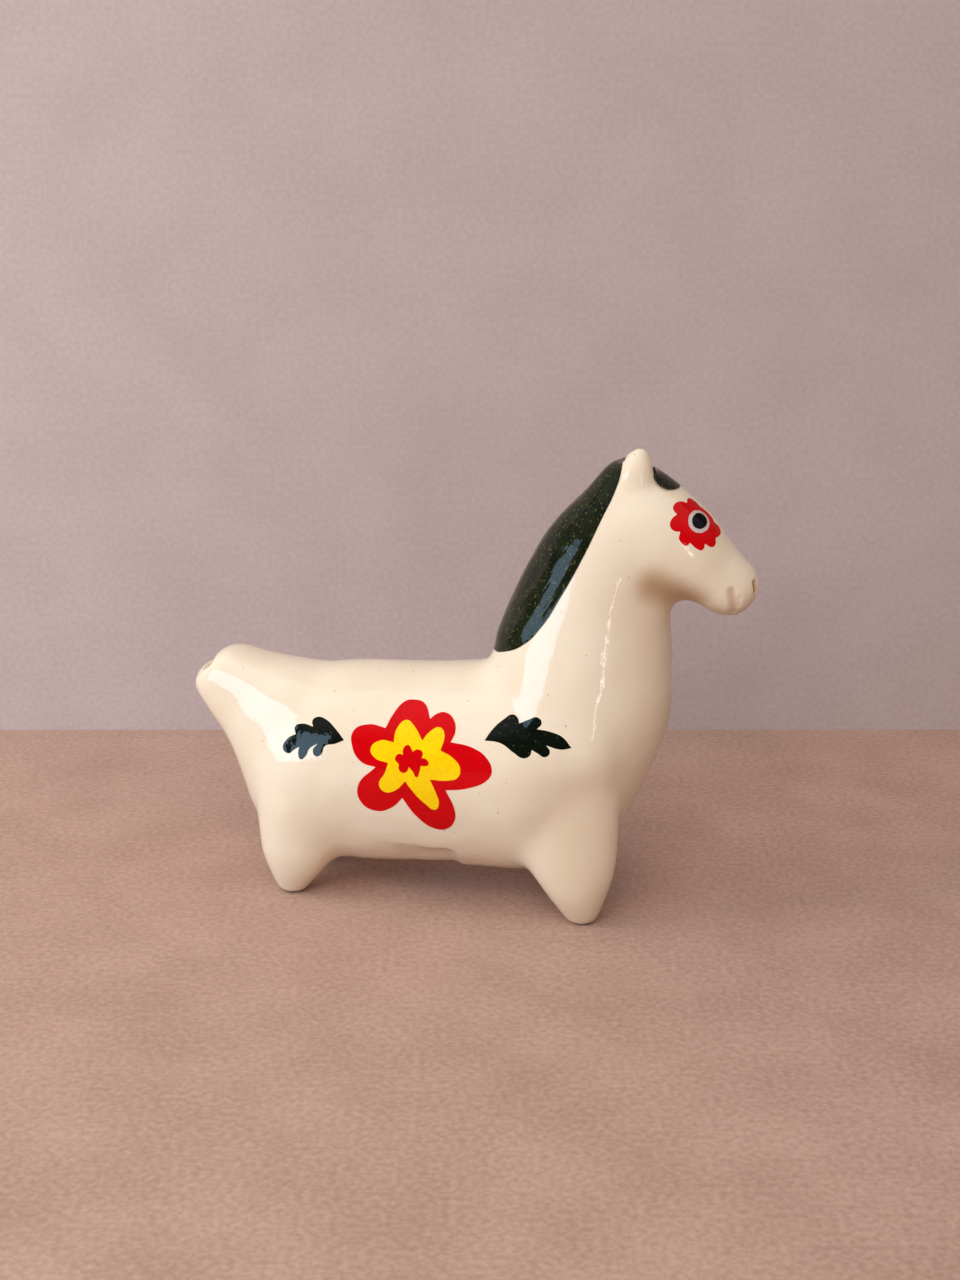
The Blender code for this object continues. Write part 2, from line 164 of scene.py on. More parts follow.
REAR_LEAF = (
    ((-17.3, 28.0), (-18.6, 27.4), (-20.4, 26.8), (-20.8, 25.7), (-21.7, 25.2), (-22.3, 25.9)),
    ((-21.6, 27.1), (-22.9, 26.2), (-23.5, 25.0), (-24.4, 24.4), (-24.8, 25.2)),
    ((-24.7, 26.2), (-25.6, 25.6), (-26.6, 24.9), (-27.6, 25.4), (-27.1, 26.8)),
    ((-25.5, 27.9), (-25.8, 28.8), (-24.6, 29.5)),
    ((-22.6, 29.4), (-22.8, 30.2), (-22.0, 30.8), (-20.5, 30.6), (-18.6, 29.3)),
)
FRONT_LEAF = (
    ((5.0, 29.7), (6.0, 31.2), (7.7, 32.8), (9.1, 33.6), (9.9, 33.2)),
    ((10.2, 32.5), (11.6, 33.2), (13.0, 33.7), (13.7, 33.0)),
    ((13.0, 32.0), (15.0, 31.8), (17.0, 31.1)),
    ((18.4, 29.6), (17.0, 29.3)),
    ((14.6, 29.8), (15.2, 28.8), (14.5, 28.1), (13.3, 28.6)),
    ((12.4, 29.0), (12.2, 28.2), (11.2, 27.7), (9.6, 28.4), (7.6, 29.5)),
)
ROSETTE = (
    ((-3.0, 1.2), (-3.9, 0.4), (-4.2, -0.7), (-3.8, -1.5)),
    ((-2.9, -1.7), (-2.9, -2.9), (-2.4, -3.6), (-1.5, -3.7)),
    ((-0.7, -3.2), (-0.1, -3.9), (0.7, -4.0), (1.4, -3.8)),
    ((1.5, -3.2), (2.9, -3.0), (3.5, -2.6), (3.4, -2.0)),
    ((3.1, -1.7), (4.3, -1.0), (4.3, -0.2)),
    ((3.7, 0.5), (3.9, 1.5), (3.6, 2.7), (2.9, 3.1)),
    ((2.1, 2.8), (1.4, 3.2), (0.2, 3.3)),
    ((-1.1, 2.9), (-2.4, 3.0), (-3.3, 2.3)),
)
MANE = (
    ((23.9, 71.6), (23.9, 70.2), (23.1, 67.1), (21.6, 63.7), (18.6, 57.0), (15.7, 51.5), (12.8, 46.7),
     (10.0, 43.7), (6.6, 41.8), (4.6, 41.1)),
    ((2.5, 40.9),),
    ((0.0, 60.0),),
    ((22.0, 76.0),),
)
FORELOCK = (
    ((28.3, 70.6), (28.5, 69.6), (29.0, 68.8), (29.4, 68.35), (30.1, 67.9), (31.1, 67.6)),
    ((33.2, 67.5),),
    ((33.2, 72.0),),
)
# From the front, the forelock keeps inside an oval: its centre and half sizes, across and up.
FORELOCK_DOME = ((0.0, 68.0), (3.4, 2.5))
# Centres and half sizes of the white of the eye and the pupil, along the face and across it.
EYE_WHITE = ((0.2, 0.2), (1.75, 2.0))
PUPIL = ((0.2, 0.3), (1.2, 1.5))

# Clear glaze: how it bends light, its roughness from smooth to dull, the height of its ripples, how much of
# them shows, and how strongly it mirrors. Dark and strong colours are covered by a glaze that mirrors less.
GLAZE_IOR = 1.5
GLAZE_ROUGHNESS = (0.05, 0.11)
GLAZE_RIPPLE = 0.35
RIPPLE_STRENGTH = 0.5
GLAZE_SHINE = 0.5
MANE_RIPPLE = 0.6
MANE_SHINE = 0.25
LEAF_RIPPLE = 0.5
LEAF_SHINE = 0.3
# Brush streaks in the mane: the directions across and along it, how far they are drawn out, and their height.
MANE_ACROSS = (0.85, 0.0, -0.53)
MANE_ALONG = (0.53, 0.0, 0.85)
STREAK_STRETCH = 0.06
STREAK_HEIGHT = 0.1
# Creases are browner, partly as real glaze pooling and partly as painted shade: how far the surface bends in
# where the browning starts and where it is deepest, and how much of its colour shows there.
CREASE_START = 0.485
CREASE_DEEP = 0.42
CREASE_SHARE = 0.6

# Colours. A pair is a colour at its thickest and at its thinnest, or palest and darkest.
CLAY = ((0.87, 0.735, 0.57), (0.83, 0.68, 0.505))
CREASE_POOL_AND_SHADE_BROWN = (0.50, 0.33, 0.19)
POOL_AND_SHADE_BROWN = (0.45, 0.25, 0.11)
FAINT_SPECK = (0.56, 0.42, 0.29)
DARK_SPECK = (0.10, 0.06, 0.04)
MANE_GREEN = ((0.004, 0.006, 0.002), (0.015, 0.019, 0.007))
MANE_DUST = (0.060, 0.064, 0.018)
LEAF_GREEN = ((0.001, 0.002, 0.001), (0.004, 0.007, 0.003))
LEAF_DUST = (0.030, 0.036, 0.014)
RED = ((0.68, 0.001, 0.004), (0.55, 0.001, 0.003))
YELLOW = ((0.97, 0.68, 0.003), (0.95, 0.55, 0.002))
EYE_GREY = ((0.66, 0.56, 0.53), (0.56, 0.46, 0.43))
PUPIL_BLACK = ((0.001, 0.001, 0.003), (0.003, 0.002, 0.005))
FLOOR = ((0.52, 0.34, 0.265), (0.39, 0.24, 0.18))
BACKDROP = ((0.57, 0.455, 0.445), (0.50, 0.395, 0.38))
CARD_ROUGHNESS = 0.9

# Camera at the photograph's viewing angle.
CAMERA_PLACE = (57.0, -284.0, 126.0)
CAMERA_DROP = 16.24
CAMERA_TURN = 11.0
CAMERA_LENS = 54.08
CAMERA_SENSOR = 36.0
CAMERA_NEAREST = 10.0

# Stage: the floor, the backdrop behind the horse, and the lamps. Each lamp has its place, size, brightness
# and colour, and whether the glaze mirrors it.
STAGE_SIZE = 3000.0
BACKDROP_DISTANCE = 78.0
LAMPS = (
    ("window", (-355.0, -343.0, 135.0), (270.0, 210.0), 5.0, (0.50, 0.76, 1.0), True),
    ("slit", (230.0, -470.0, 75.0), (14.0, 150.0), 9.0, (1.0, 0.98, 0.95), True),
    ("left_fill", (-312.0, -55.0, 180.0), (300.0, 260.0), 2.8, (1.0, 0.99, 0.98), False),
    ("front_fill", (0.0, -405.0, 320.0), (300.0, 300.0), 3.7, (1.0, 0.93, 0.86), False),
)
LAMP_AIM = Vector((0.0, 0.0, 32.0))
# Light from all round: its colour low down and overhead, and the heights between which it changes, where 0 is
# the horizon and 1 is straight up.
ROOM_LOW = (0.10, 0.095, 0.09)
ROOM_HIGH = (1.08, 1.08, 1.08)
ROOM_RISE = (0.35, 0.9)
# Places of the sockets of a Mix node that are for colours.
MIX_INPUTS = (0, 6, 7)
MIX_OUTPUT = 2


def pick(piece):
    """Makes one object the active one and the only one selected."""
    bpy.ops.object.select_all(action="DESELECT")
    piece.select_set(True)
    bpy.context.view_layer.objects.active = piece


def copy_of(source, name):
    """A new object with a mesh of its own, so that the CAD nodes stay as they are."""
    twin = bpy.data.objects.new(name, source.data.copy())
    twin.data.name = name
    bpy.context.scene.collection.objects.link(twin)
    return twin


def apply_modifier(piece, kind, **settings):
    """Adds a modifier with its settings and applies it at once."""
    pick(piece)
    bpy.ops.object.modifier_add(type=kind)
    modifier = piece.modifiers[-1]
    for name, value in settings.items():
        setattr(modifier, name, value)
    bpy.ops.object.modifier_apply(modifier=modifier.name)


def weigh_modifier(piece, weights, kind, **settings):
    """Applies a modifier to the vertices that are given weights, each by its weight."""
    share = piece.vertex_groups.new(name="share")
    for index, weight in weights.items():
        share.add([index], weight, "REPLACE")
    apply_modifier(piece, kind, vertex_group=share.name, **settings)
    piece.vertex_groups.clear()


def swell(piece, distance):
    """Moves a whole surface along its normals."""
    pick(piece)
    bpy.ops.object.mode_set(mode="EDIT")
    bpy.ops.mesh.select_all(action="SELECT")
    bpy.ops.transform.shrink_fatten(value=distance * MM)
    bpy.ops.object.mode_set(mode="OBJECT")


def between(point, low, high):
    """Whether a point of a mesh lies in a box that is given in millimetres."""
    return all(low[axis] * MM < point[axis] < high[axis] * MM for axis in range(3))


def edit_faces(piece, wanted):
    """Goes into edit mode with only the faces selected that pass a test."""
    pick(piece)
    bpy.ops.object.mode_set(mode="EDIT")
    bpy.ops.mesh.select_mode(type="FACE")
    bpy.ops.mesh.select_all(action="DESELECT")
    bpy.ops.object.mode_set(mode="OBJECT")
    for polygon in piece.data.polygons:
        polygon.select = wanted(polygon)
    bpy.ops.object.mode_set(mode="EDIT")


def split_wide_faces(piece, most=4):
    """Splits the faces with more corners than this into well-shaped triangles, and removes slivers."""
    edit_faces(piece, lambda face: len(face.vertices) > most)
    bpy.ops.mesh.quads_convert_to_tris(quad_method="BEAUTY", ngon_method="BEAUTY")
    bpy.ops.mesh.select_all(action="SELECT")
    bpy.ops.mesh.dissolve_degenerate(threshold=SLIVER * MM)
    bpy.ops.object.mode_set(mode="OBJECT")


def clay_skin():
    """The horse as one fired form: its members grown until they meet, fused, smoothed and a little uneven."""
    members = [copy_of(solid, "glazed_clay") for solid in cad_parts.values()]
    bpy.ops.object.select_all(action="DESELECT")
    for member in members:
        member.select_set(True)
    skin = members[0]
    bpy.context.view_layer.objects.active = skin
    bpy.ops.object.join()
    bpy.ops.object.mode_set(mode="EDIT")
    bpy.ops.mesh.select_all(action="SELECT")
    bpy.ops.mesh.remove_doubles(threshold=MEMBER_WELD * MM)
    bpy.ops.object.mode_set(mode="OBJECT")
    swell(skin, SLIP_GROWTH)
    apply_modifier(skin, "REMESH", mode="VOXEL", voxel_size=SKIN_GRAIN * MM)
    rounding = {}
    for vertex in skin.data.vertices:
        rounding[vertex.index] = CUT_SHARE if between(vertex.co, CUT_LOW, CUT_HIGH) else 1.0
    weigh_modifier(skin, rounding, "SMOOTH", factor=STROKE, iterations=SKIN_SMOOTHING)
    swell(skin, -SLIP_GROWTH)
    dents = bpy.data.textures.new("dents", "CLOUDS")
    dents.noise_scale = DENT_WIDTH * MM
    dents.noise_depth = DENT_LAYERS
    apply_modifier(
        skin, "DISPLACE", texture=dents, texture_coords="LOCAL", strength=DENT_DEPTH * MM, mid_level=1.0
    )
    hollow = line_weights(skin, HOLLOW, -1.0, HOLLOW_WIDTH)
    weigh_modifier(skin, hollow, "SMOOTH", factor=STROKE, iterations=HOLLOW_SMOOTHING)
    for _, side in SIDES:
        seam = line_weights(skin, SEAM, side, SEAM_WIDTH)
        weigh_modifier(skin, seam, "SMOOTH", factor=STROKE, iterations=SEAM_SMOOTHING)
    pick(skin)
    bpy.ops.object.shade_smooth()
    return skin


def line_weights(skin, line, side, width):
    """How near the clay lies to a line along it: 1 on the line, and 0 half a width away."""
    marks = [Vector((x, y * -side, z)) for x, y, z in line]
    track = []
    for start, end in zip(marks, marks[1:]):
        steps = math.ceil((end - start).length / STICK_STEP)
        for step in range(steps + 1):
            track.append(skin.closest_point_on_mesh(start.lerp(end, step / steps) * MM)[1])
    low = [min(point[axis] for point in track) / MM - width / 2 for axis in range(3)]
    high = [max(point[axis] for point in track) / MM + width / 2 for axis in range(3)]
    weights = {}
    for vertex in skin.data.vertices:
        if between(vertex.co, low, high):
            share = min((vertex.co - point).length for point in track) / (width / 2 * MM)
            if share < 1.0:
                weights[vertex.index] = (1.0 - share ** 2) ** 2
    return weights


def darken_glaze(skin, weights, strength):
    """Marks where the glaze is browned: pooled glaze in grooves, and painted shade."""
    pooled_and_shaded = skin.data.attributes[POOL_AND_SHADE].data
    for index, weight in weights.items():
        pooled_and_shaded[index].value = max(pooled_and_shaded[index].value, weight * strength)


def shape_muzzle(skin):
    """Makes the muzzle finer, presses the mouth and nostrils into both sides, and marks the pooled glaze and
    the painted shade.
    """
    edit_faces(skin, lambda face: between(face.center, MUZZLE_LOW, MUZZLE_HIGH))
    bpy.ops.mesh.subdivide(number_cuts=MUZZLE_CUTS)
    bpy.ops.object.mode_set(mode="OBJECT")
    split_wide_faces(skin)
    skin.data.attributes.new(POOL_AND_SHADE, "FLOAT", "POINT")
    for _, side in SIDES:
        for line, width, depth, tint in MUZZLE_MARKS:
            weights = line_weights(skin, line, side, width)
            darken_glaze(skin, weights, tint)
            weigh_modifier(skin, weights, "DISPLACE", strength=-depth * MM, mid_level=0.0)
        # Painted shade under the jaw, chin and foreleg, and a browner flat cut.
        for line, width, tint in BROWN_TINTS:
            darken_glaze(skin, line_weights(skin, line, side, width), tint)


def keep_faces(piece, low, high, facing=None):
    """Deletes the faces of a piece that lie outside a box or look away from one side."""
    edit_faces(
        piece,
        lambda face: not between(face.center, low, high)
        or (facing is not None and face.normal.dot(facing) < FACING_LEAST),
    )
    bpy.ops.mesh.delete(type="FACE")
    bpy.ops.object.mode_set(mode="OBJECT")


def patch_of(skin, low, high, facing=None):
    """The part of the skin that lies in a box and looks one way, for films to be cut from."""
    patch = copy_of(skin, "patch")
    keep_faces(patch, low, high, facing)
    return patch


def outline_block(lobes, origin, along, up, near, far):
    """A straight block whose section is an outline of sharp notches and round lobes."""
    curve = bpy.data.curves.new("outline", "CURVE")
    curve.dimensions = "3D"
    curve.resolution_u = CURVE_STEPS
    spline = curve.splines.new("BEZIER")
    points = [(point, index == 0) for lobe in lobes for index, point in enumerate(lobe)]
    spline.bezier_points.add(len(points) - 1)
    spline.use_cyclic_u = True
    axis = along.cross(up).normalized()
    for knot, ((right, rise), sharp) in zip(spline.bezier_points, points):
        knot.co = (origin + along * right + up * rise + axis * near) * MM
        handle = "VECTOR" if sharp else "AUTO"
        knot.handle_left_type = handle
        knot.handle_right_type = handle
    block = bpy.data.objects.new("outline", curve)
    bpy.context.scene.collection.objects.link(block)
    pick(block)
    bpy.ops.object.convert(target="MESH")
    block = bpy.context.view_layer.objects.active
    bpy.ops.object.mode_set(mode="EDIT")
    bpy.ops.mesh.select_all(action="SELECT")
    bpy.ops.mesh.remove_doubles(threshold=MEMBER_WELD * MM)
    bpy.ops.mesh.edge_face_add()
    bpy.ops.mesh.extrude_region_move(TRANSFORM_OT_translate={"value": axis * (far - near) * MM})
    bpy.ops.mesh.select_all(action="SELECT")
    bpy.ops.mesh.normals_make_consistent(inside=False)
    bpy.ops.object.mode_set(mode="OBJECT")
    return block


def lift_mane(piece):
    """Rounds the mane's edges, so that it lies on the neck as a low strip."""
    edge = [Vector(point) for point in MANE[0]]
    weights = {}
    for vertex in piece.data.vertices:
        spot = vertex.co.xz / MM
        gaps = []
        for start, end in zip(edge, edge[1:]):
            _, share = intersect_point_line(spot, start, end)
            gaps.append((spot - start.lerp(end, min(max(share, 0.0), 1.0))).length)
        inward = min(min(gaps) / MANE_SHOULDER, 1.0)
        weights[vertex.index] = inward * (2.0 - inward)
    weigh_modifier(piece, weights, "DISPLACE", strength=MANE_RISE * MM, mid_level=0.0)


def lift_forelock(piece):
    """Lifts the back end of the forelock up the ears, and leaves its tip on the forehead."""
    tip = max(point[0] for lobe in FORELOCK for point in lobe)
    back = min(point[0] for lobe in FORELOCK for point in lobe)
    weights = {}
    for vertex in piece.data.vertices:
        weights[vertex.index] = min(max((tip - vertex.co.x / MM) / (tip - back), 0.0), 1.0)
    weigh_modifier(piece, weights, "DISPLACE", direction="Z", strength=FORELOCK_RISE * MM, mid_level=0.0)


def film(name, patch, block, proud, depth=FILM_DEPTH, lift=None):
    """A thin coloured film: the patch of skin inside a block, laid a little proud, or lifted into a pad."""
    piece = copy_of(patch, name)
    corners = [vertex.co / MM for vertex in block.data.vertices]
    low = [min(corner[axis] for corner in corners) - FILM_MARGIN for axis in range(3)]
    high = [max(corner[axis] for corner in corners) + FILM_MARGIN for axis in range(3)]
    keep_faces(piece, low, high)
    swell(piece, proud)
    if lift:
        lift(piece)
    apply_modifier(piece, "SOLIDIFY", thickness=depth * MM, offset=-1.0)
    apply_modifier(piece, "BOOLEAN", operation="INTERSECT", solver="EXACT", object=block)
    bpy.data.objects.remove(block)
    split_wide_faces(piece, most=3)
    bpy.ops.object.shade_smooth_by_angle(angle=SOFT_EDGE)
    return piece


def oval_lobe(middle, halves):
    """An oval as one round lobe."""
    ring = []
    for index in range(OVAL_POINTS):
        turn = index * math.tau / OVAL_POINTS
        ring.append((middle[0] + halves[0] * math.cos(turn), middle[1] + halves[1] * math.sin(turn)))
    return ring


def node(tree, kind, sockets=None, **settings):
    """Adds a shader node. A socket given an output is linked to it, and any other value is set on it."""
    made = tree.nodes.new("ShaderNode" + kind)
    for name, value in settings.items():
        setattr(made, name, value)
    for name, value in (sockets or {}).items():
        if isinstance(value, bpy.types.NodeSocket):
            tree.links.new(value, made.inputs[name])
        else:
            made.inputs[name].default_value = value
    return made


def blend(tree, factor, under, over):
    """Mixes two colours, each given as a value or as an output."""
    made = tree.nodes.new("ShaderNodeMix")
    made.data_type = "RGBA"
    for place, value in zip(MIX_INPUTS, (factor, under, over)):
        socket = made.inputs[place]
        if isinstance(value, bpy.types.NodeSocket):
            tree.links.new(value, socket)
        elif isinstance(value, tuple):
            socket.default_value = (*value, 1.0)
        else:
            socket.default_value = value
    return made.outputs[MIX_OUTPUT]


def group(name, inputs, output, kind="NodeSocketFloat"):
    """Starts a shader node group that reads a place on the piece and some numbers."""
    tree = bpy.data.node_groups.new(name, "ShaderNodeTree")
    tree.interface.new_socket("Place", in_out="INPUT", socket_type="NodeSocketVector")
    for label, value in inputs.items():
        tree.interface.new_socket(label, in_out="INPUT", socket_type="NodeSocketFloat").default_value = value
    tree.interface.new_socket(output, in_out="OUTPUT", socket_type=kind)
    given = tree.nodes.new("NodeGroupInput").outputs
    result = tree.nodes.new("NodeGroupOutput").inputs
    return tree, given, result


def mottle_group():
    """Soft clouds in the colour of a glaze, from 0 to 1."""
    tree, given, result = group("glaze_mottle", {"Scale": 100.0}, "Cloud")
    noise = node(tree, "TexNoise", {"Vector": given["Place"], "Scale": given["Scale"], "Detail": 3.0})
    spread = node(tree, "MapRange", {"Value": noise.outputs["Fac"], "From Min": 0.3, "From Max": 0.7})
    tree.links.new(spread.outputs["Result"], result["Cloud"])
    return tree


def speck_group():
    """Scattered dark specks and pinholes: 1 on a speck and 0 elsewhere."""
    tree, given, result = group("glaze_specks", {"Scale": 300.0, "Size": 0.1, "Share": 0.3}, "Speck")
    cells = node(tree, "TexVoronoi", {"Vector": given["Place"], "Scale": given["Scale"]})
    pick_cell = node(tree, "SeparateColor", {"Color": cells.outputs["Color"]})
    chosen = node(tree, "Math", {0: pick_cell.outputs["Red"], 1: given["Share"]}, operation="LESS_THAN")
    size = node(tree, "Math", {0: pick_cell.outputs["Green"], 1: given["Size"]}, operation="MULTIPLY")
    near = node(tree, "Math", {0: cells.outputs["Distance"], 1: size.outputs[0]}, operation="LESS_THAN")
    both = node(tree, "Math", {0: chosen.outputs[0], 1: near.outputs[0]}, operation="MULTIPLY")
    tree.links.new(both.outputs[0], result["Speck"])
    return tree


def ripple_group():
    """The slight waviness of poured glaze, with a finer orange peel on it, as a height."""
    tree, given, result = group("glaze_ripple", {"Wave": 160.0, "Peel": 900.0, "Peel Share": 0.15}, "Height")
    wave = node(tree, "TexNoise", {"Vector": given["Place"], "Scale": given["Wave"], "Detail": 1.0})
    peel = node(tree, "TexNoise", {"Vector": given["Place"], "Scale": given["Peel"], "Detail": 1.0})
    share = node(tree, "Math", {0: peel.outputs["Fac"], 1: given["Peel Share"]}, operation="MULTIPLY")
    both = node(tree, "Math", {0: wave.outputs["Fac"], 1: share.outputs[0]}, operation="ADD")
    tree.links.new(both.outputs[0], result["Height"])
    return tree


def grain_group():
    """The grain of underglaze colour: fine grit inside broader brush clouds, from 0 to 1."""
    tree, given, result = group("paint_grain", {"Grit": 2400.0, "Brush": 260.0, "Brush Share": 0.5}, "Grain")
    grit = node(tree, "TexNoise", {"Vector": given["Place"], "Scale": given["Grit"], "Detail": 2.0})
    brush = node(tree, "TexNoise", {"Vector": given["Place"], "Scale": given["Brush"], "Detail": 2.0})
    mixed = node(
        tree,
        "Mix",
        {0: given["Brush Share"], 2: grit.outputs["Fac"], 3: brush.outputs["Fac"]},
        data_type="FLOAT",
    )
    spread = node(tree, "MapRange", {"Value": mixed.outputs[0], "From Min": 0.35, "From Max": 0.65})
    tree.links.new(spread.outputs["Result"], result["Grain"])
    return tree


def streak_group():
    """Fine ridges that a brush left along the mane, as a height."""
    tree, given, result = group("brush_streaks", {"Scale": 1300.0}, "Height")
    across = node(tree, "VectorMath", {0: given["Place"], 1: MANE_ACROSS}, operation="DOT_PRODUCT")
    along = node(tree, "VectorMath", {0: given["Place"], 1: MANE_ALONG}, operation="DOT_PRODUCT")
    slow = node(tree, "Math", {0: along.outputs["Value"], 1: STREAK_STRETCH}, operation="MULTIPLY")
    strip = node(tree, "CombineXYZ", {"X": across.outputs["Value"], "Y": slow.outputs[0]})
    noise = node(tree, "TexNoise", {"Vector": strip.outputs[0], "Scale": given["Scale"], "Detail": 2.0})
    tree.links.new(noise.outputs["Fac"], result["Height"])
    return tree


GROUPS = {
    "mottle": mottle_group(),
    "specks": speck_group(),
    "ripple": ripple_group(),
    "grain": grain_group(),
    "streaks": streak_group(),
}


def effect(tree, name, place, **values):
    """Places one of the shared effects in a material, with its own values."""
    made = tree.nodes.new("ShaderNodeGroup")
    made.node_tree = GROUPS[name]
    tree.links.new(place, made.inputs["Place"])
    for label, value in values.items():
        made.inputs[label.replace("_", " ").title()].default_value = value
    return made.outputs[0]


def glazed(name, ripple=GLAZE_RIPPLE, shine=GLAZE_SHINE):
    """A material with the gloss and ripple of clear glaze. The caller gives it its colour."""
    material = bpy.data.materials.new(name)
    material.use_nodes = True
    tree = material.node_tree
    shader = tree.nodes["Principled BSDF"]
    shader.inputs["IOR"].default_value = GLAZE_IOR
    shader.inputs["Specular IOR Level"].default_value = shine
    place = node(tree, "TexCoord").outputs["Object"]
    cloud = effect(tree, "mottle", place, scale=240.0)
    smooth, dull = GLAZE_ROUGHNESS
    rough = node(tree, "MapRange", {"Value": cloud, "To Min": smooth, "To Max": dull})
    tree.links.new(rough.outputs["Result"], shader.inputs["Roughness"])
    height = effect(tree, "ripple", place)
    bump = node(tree, "Bump", {"Height": height, "Strength": RIPPLE_STRENGTH, "Distance": ripple * MM})
    tree.links.new(bump.outputs["Normal"], shader.inputs["Normal"])
    return material, tree, place, shader


def cream_glaze():
    """Ivory clay under clear glaze: soft clouds, dark iron specks, and a honey brown that is partly glaze
    pooled in creases and grooves and partly painted shade.
    """
    material, tree, place, shader = glazed("cream_glaze")
    cloud = effect(tree, "mottle", place, scale=85.0)
    clay = blend(tree, cloud, *CLAY)
    # Painted shade, partly real glaze pooling: browner where the surface bends in.
    bend = node(tree, "NewGeometry").outputs["Pointiness"]
    crease = node(
        tree,
        "MapRange",
        {"Value": bend, "From Min": CREASE_START, "From Max": CREASE_DEEP, "To Max": CREASE_SHARE},
    )
    creased = blend(tree, crease.outputs["Result"], clay, CREASE_POOL_AND_SHADE_BROWN)
    # Browner where glaze pools in the muzzle grooves, with painted shade there and under the jaw, chin and
    # foreleg.
    pool_and_shade = node(tree, "Attribute", attribute_name=POOL_AND_SHADE).outputs["Fac"]
    pooled_and_shaded = blend(tree, pool_and_shade, creased, POOL_AND_SHADE_BROWN)
    faint = effect(tree, "specks", place, scale=700.0, size=0.12, share=0.25)
    dotted = blend(tree, faint, pooled_and_shaded, FAINT_SPECK)
    dark = effect(tree, "specks", place, scale=420.0, size=0.06, share=0.12)
    specked = blend(tree, dark, dotted, DARK_SPECK)
    tree.links.new(specked, shader.inputs["Base Color"])
    return material


def painted(name, colours, shine=GLAZE_SHINE):
    """Underglaze colour, denser and thinner in its grain, under the same clear glaze."""
    material, tree, place, shader = glazed(name, shine=shine)
    grain = effect(tree, "grain", place, brush_share=0.4)
    tree.links.new(blend(tree, grain, *colours), shader.inputs["Base Color"])
    return material


def dusted(name, colours, dust_colour, ripple, shine, brush_share, **dust):
    """Dark colour with fine pale dust floating in it, under clear glaze."""
    material, tree, place, shader = glazed(name, ripple, shine)
    grain = effect(tree, "grain", place, brush_share=brush_share)
    body = blend(tree, grain, *colours)
    grains = effect(tree, "specks", place, **dust)
    tree.links.new(blend(tree, grains, body, dust_colour), shader.inputs["Base Color"])
    return material, tree, place, shader


def green_glaze():
    """Dark green mane glaze with fine yellowish grains floating in it, and brush streaks along it."""
    material, tree, place, shader = dusted(
        "green_glaze", MANE_GREEN, MANE_DUST, MANE_RIPPLE, MANE_SHINE,
        brush_share=0.5, scale=2500.0, size=0.5, share=0.5,
    )
    ripples = shader.inputs["Normal"].links[0].from_socket
    ridges = effect(tree, "streaks", place)
    brushed = node(tree, "Bump", {"Height": ridges, "Distance": STREAK_HEIGHT * MM, "Normal": ripples})
    tree.links.new(brushed.outputs["Normal"], shader.inputs["Normal"])
    return material


def leaf_paint():
    """Near-black green leaf colour with a fine pale dust in it."""
    material, *_ = dusted(
        "leaf_paint", LEAF_GREEN, LEAF_DUST, LEAF_RIPPLE, LEAF_SHINE,
        brush_share=0.3, scale=2100.0, size=0.40, share=0.25,
    )
    return material


def dress(piece, material):
    """Gives a piece its material and sets it on the horse."""
    piece.data.materials.clear()
    piece.data.materials.append(material)
    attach(piece, "root")


def paint_flank(skin, name, side, paints):
    """The flower and its two leaves on one flank."""
    low = Vector((FLANK_LOW.x, min(side * FLANK_NEAR, side * FLANK_FAR), FLANK_LOW.z))
    high = Vector((FLANK_HIGH.x, max(side * FLANK_NEAR, side * FLANK_FAR), FLANK_HIGH.z))
    patch = patch_of(skin, low, high, Y * side)
    for motif, lobes, paint, layer in (
        ("petals", PETALS, "red", 1),
        ("star", STAR, "yellow", 2),
        ("heart", HEART, "red", 3),
        ("rear_leaf", REAR_LEAF, "leaf", 1),
        ("front_leaf", FRONT_LEAF, "leaf", 1),
    ):
        block = outline_block(lobes, ORIGIN, X, Z, -side * FLANK_NEAR, -side * FLANK_FAR)
        dress(film(f"{motif}_{name}", patch, block, PAINT_PROUD * layer), paints[paint])
    bpy.data.objects.remove(patch)


def paint_eye(skin, name, side, paints):
    """The rosette round one eye, with its white and its pupil."""
    flip = Vector((1.0, -side, 1.0))
    centre = EYE * flip
    if name == "left":
        centre += LEFT_EYE_SHIFT
    axis = (EYE_AXIS * flip).normalized()
    along = EYE_ALONG * flip
    up = axis.cross(along).normalized() * -side
    patch = patch_of(skin, centre - EYE_SPAN, centre + EYE_SPAN, axis)
    for motif, lobes, paint, layer in (
        ("rosette", ROSETTE, "red", 1),
        ("eye_white", (oval_lobe(*EYE_WHITE),), "white", 2),
        ("pupil", (oval_lobe(*PUPIL),), "pupil", 3),
    ):
        block = outline_block(lobes, centre, along, up, -EYE_REACH, EYE_REACH)
        dress(film(f"{motif}_{name}", patch, block, PAINT_PROUD * layer), paints[paint])
    bpy.data.objects.remove(patch)


def mane_block():
    """The mane's outline from the side, through from flank to flank."""
    return outline_block(MANE, ORIGIN, X, Z, -CREST_REACH, CREST_REACH)


def forelock_block():
    """The forelock's outline from the side, rounded from the front where it meets the ears."""
    block = outline_block(FORELOCK, ORIGIN, X, Z, -CREST_REACH, CREST_REACH)
    dome = outline_block((oval_lobe(*FORELOCK_DOME),), ORIGIN, Y, Z, CREST_LOW.x, CREST_HIGH.x)
    apply_modifier(block, "BOOLEAN", operation="INTERSECT", solver="EXACT", object=dome)
    bpy.data.objects.remove(dome)
    return block


def glaze_crest(skin, glaze):
    """The dark mane and forelock, over the crest from side to side, as low pads."""
    patch = patch_of(skin, CREST_LOW, CREST_HIGH)
    for name, block, depth, lift in (
        ("mane", mane_block(), MANE_DEPTH, lift_mane),
        ("forelock", forelock_block(), FORELOCK_DEPTH, lift_forelock),
    ):
        piece = film(f"{name}_glaze", patch, block, MANE_PROUD, depth, lift)
        dress(piece, glaze)
        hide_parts(name)
    bpy.data.objects.remove(patch)


